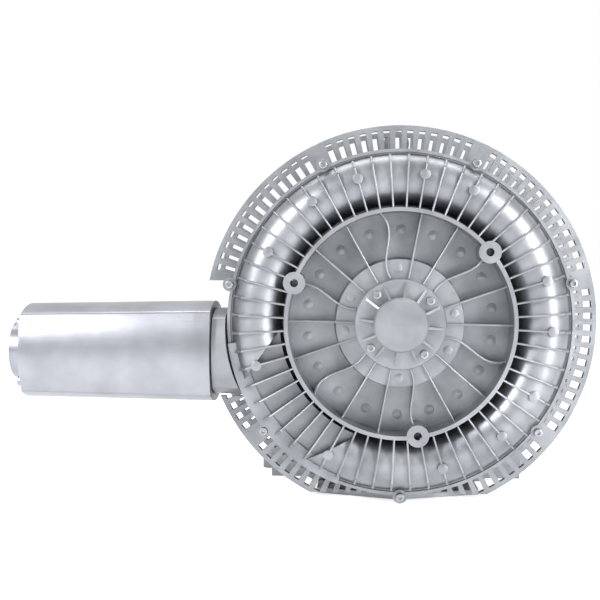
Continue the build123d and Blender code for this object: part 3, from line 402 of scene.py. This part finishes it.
for name, end, depth, height in (("front", -489, 70, 194), ("rear", -511, 212, 182)):
    offsets = (-silencer_screw_offset, silencer_screw_offset)
    corners = [at(end, depth + across, height + up) for across in offsets for up in offsets]
    screw_set(f"{name}_silencer_screws", f"{name}_silencer_cap_screws", corners, LEFT, M8, length=11)
    bm = bmesh.new()
    mouth = at(end - port_boss_length, depth, height)
    for turn in range(ridge_count):
        start = -first_ridge - thread_pitch * turn
        ridge = [(port_wall, start), (thread_crest, start - ridge_width / 2), (port_wall, start - ridge_width)]
        lathe(bm, ridge, mouth, LEFT)
    piece(f"{name}_port_thread", bm, "silencer_aluminium", smooth=30)


# ------------------------------------------------------------------ front cover trim
fin_angles = [177.2 - 360 / 56 * fin for fin in range(56)]
fins_with_pads = (4, 8, 11, 15, 18, 25, 28, 32, 35, 39, 46, 53)
fin_pad_circle = 189
fin_edge = ((145, 1.2, 1.0), (203, 2.2, 1.35), (212, 12.6, 1.4))    # radius, depth and half thickness along it
fin_knee_depth = fin_edge[1][1]

rib_spacing = 20
rib_angles = [179 - rib_spacing * turn for turn in range(18)]
curved_ribs = [159 - 60 * turn for turn in range(6)]
rib_start, rib_end = 58, 141
curved_rib_steps = range(58, 143, 7)
rib_edge_depth = 18.4
rib_half_width = 1.15

mark_circle = 119.7             # raised marks in the dish, each with a button on it
dish_floor = 45
mark_height = 1.0
platform_mark_angles = (152, 92, 10.6, -29.4, -90.5, -171.9)
platform_mark_circle = 70
platform_face = 22


bm = bmesh.new()
for fin in fins_with_pads:                      # ejector pads on the fins' front edges
    stud(bm, 6.5, on_front(fin_pad_circle, fin_angles[fin], fin_knee_depth), 1.8, crown=0.5)
piece("fin_ejector_pads", bm, "cast_aluminium")

bm = bmesh.new()
for angle in rib_angles:
    between = angle - rib_spacing / 2
    stud(bm, 6, on_front(mark_circle, between, dish_floor), mark_height)
    stud(bm, 3, on_front(mark_circle, between, dish_floor - mark_height), 0.6)
for angle in platform_mark_angles:
    stud(bm, 5.4, on_front(platform_mark_circle, angle, platform_face), 0.9)
piece("dish_ejector_marks", bm, "cast_aluminium")

bm = bmesh.new()
for angle in fin_angles:                        # rounded front edges, bent down where a fin meets the rim
    for (inner, near, thin), (outer, far, thick) in zip(fin_edge, fin_edge[1:]):
        bead(bm, on_front(inner, angle, near), on_front(outer, angle, far), thin, thick)
piece("fin_edges", bm, "cast_aluminium", smooth=60)


def bend(radius):
    """Turn of a curved rib at a radius, in degrees: a smooth curve through its five knots."""
    knots = ((142, 1.5), (118, -2.1), (94, 1), (76, 4.4), (58, 2.9))
    return sum(turn * prod((radius - r) / (own - r) for r, _ in knots if r != own) for own, turn in knots)


bm = bmesh.new()
for angle in rib_angles:                        # rounded front edges of the straight ribs
    if angle not in curved_ribs:
        ends = on_front(rib_start, angle, rib_edge_depth), on_front(rib_end, angle, rib_edge_depth)
        bead(bm, *ends, rib_half_width, rib_half_width)
for angle in curved_ribs:                       # and of the curved ones
    spots = [on_front(radius, angle + bend(radius), rib_edge_depth) for radius in curved_rib_steps]
    for start, finish in zip(spots, spots[1:]):
        bead(bm, start, finish, rib_half_width, rib_half_width)
piece("rib_edges", bm, "cast_aluminium", smooth=60)


# ------------------------------------------------------------------ light and floor
def soft_light(name, where, target, size, power):
    """Soft rectangular light aimed at a point."""
    lamp = bpy.data.lights.new(name, "AREA")
    lamp.shape = "RECTANGLE"
    lamp.size, lamp.size_y = size
    lamp.energy = power
    light = bpy.data.objects.new(name, lamp)
    light.location = where
    light.rotation_euler = (Vector(target) - Vector(where)).to_track_quat("-Z", "Y").to_euler()
    scene.collection.objects.link(light)


def shown_background(tree):
    """One for rays that show the background: from the camera, or mirrored or passed on to it."""
    path = add_node(tree, "ShaderNodeLightPath")
    mirrored = add_node(tree, "ShaderNodeMath", {"operation": "MAXIMUM"},
                        {0: path.outputs["Is Camera Ray"], 1: path.outputs["Is Glossy Ray"]})
    either = add_node(tree, "ShaderNodeMath", {"operation": "MAXIMUM"},
                      {0: mirrored.outputs[0], 1: path.outputs["Is Transmission Ray"]})
    return either.outputs[0]


machine = (-0.05, -0.25, 0.23)                  # middle of what the camera sees
motor_end = (0, 0.1, 0.25)
soft_light("upper_left", (-1.5, -1.7, 1.3), machine, (0.6, 0.6), 48)
soft_light("upper_right", (1.4, -1.6, 1.2), machine, (0.6, 0.6), 38)
soft_light("low_right", (1.3, -1.7, 0.25), machine, (0.5, 0.4), 16)
soft_light("top_strip", (0, 0.1, 2.0), machine, (2.4, 0.5), 24)
soft_light("back_lift", (0.6, 2.2, 1.6), motor_end, (1.6, 1.2), 17)

world = bpy.data.worlds.new("studio")
scene.world = world
world.use_nodes = True
tree = world.node_tree
tree.nodes.clear()
white = add_node(tree, "ShaderNodeBackground", Color=(1, 1, 1, 1), Strength=1.0)
sky = add_node(tree, "ShaderNodeBackground", Color=srgb("#DCE1E8"), Strength=0.45)
output = tree.nodes.new("ShaderNodeOutputWorld")
add_node(tree, "ShaderNodeMixShader", into=output.inputs["Surface"],
         links={0: shown_background(tree), 1: sky.outputs[0], 2: white.outputs[0]})

floor_glow = 0.72               # lifts the lit floor to white where it shows
bm = bmesh.new()
bmesh.ops.create_grid(bm, x_segments=1, y_segments=1, size=30)
mesh = bpy.data.meshes.new("floor")
bm.to_mesh(mesh)
bm.free()
floor = bpy.data.objects.new("floor", mesh)
scene.collection.objects.link(floor)
material, tree, shader, _ = finish_of("pale_studio_floor", Metallic=0.0, Roughness=0.8)
shader.inputs["Base Color"].default_value = srgb("#F2F2F2")
shader.inputs["Emission Color"].default_value = (1, 1, 1, 1)
glow = add_node(tree, "ShaderNodeMath", {"operation": "MULTIPLY"}, {0: shown_background(tree)},
                into=shader.inputs["Emission Strength"])
glow.inputs[1].default_value = floor_glow
mesh.materials.append(material)

bpy.context.view_layer.update()
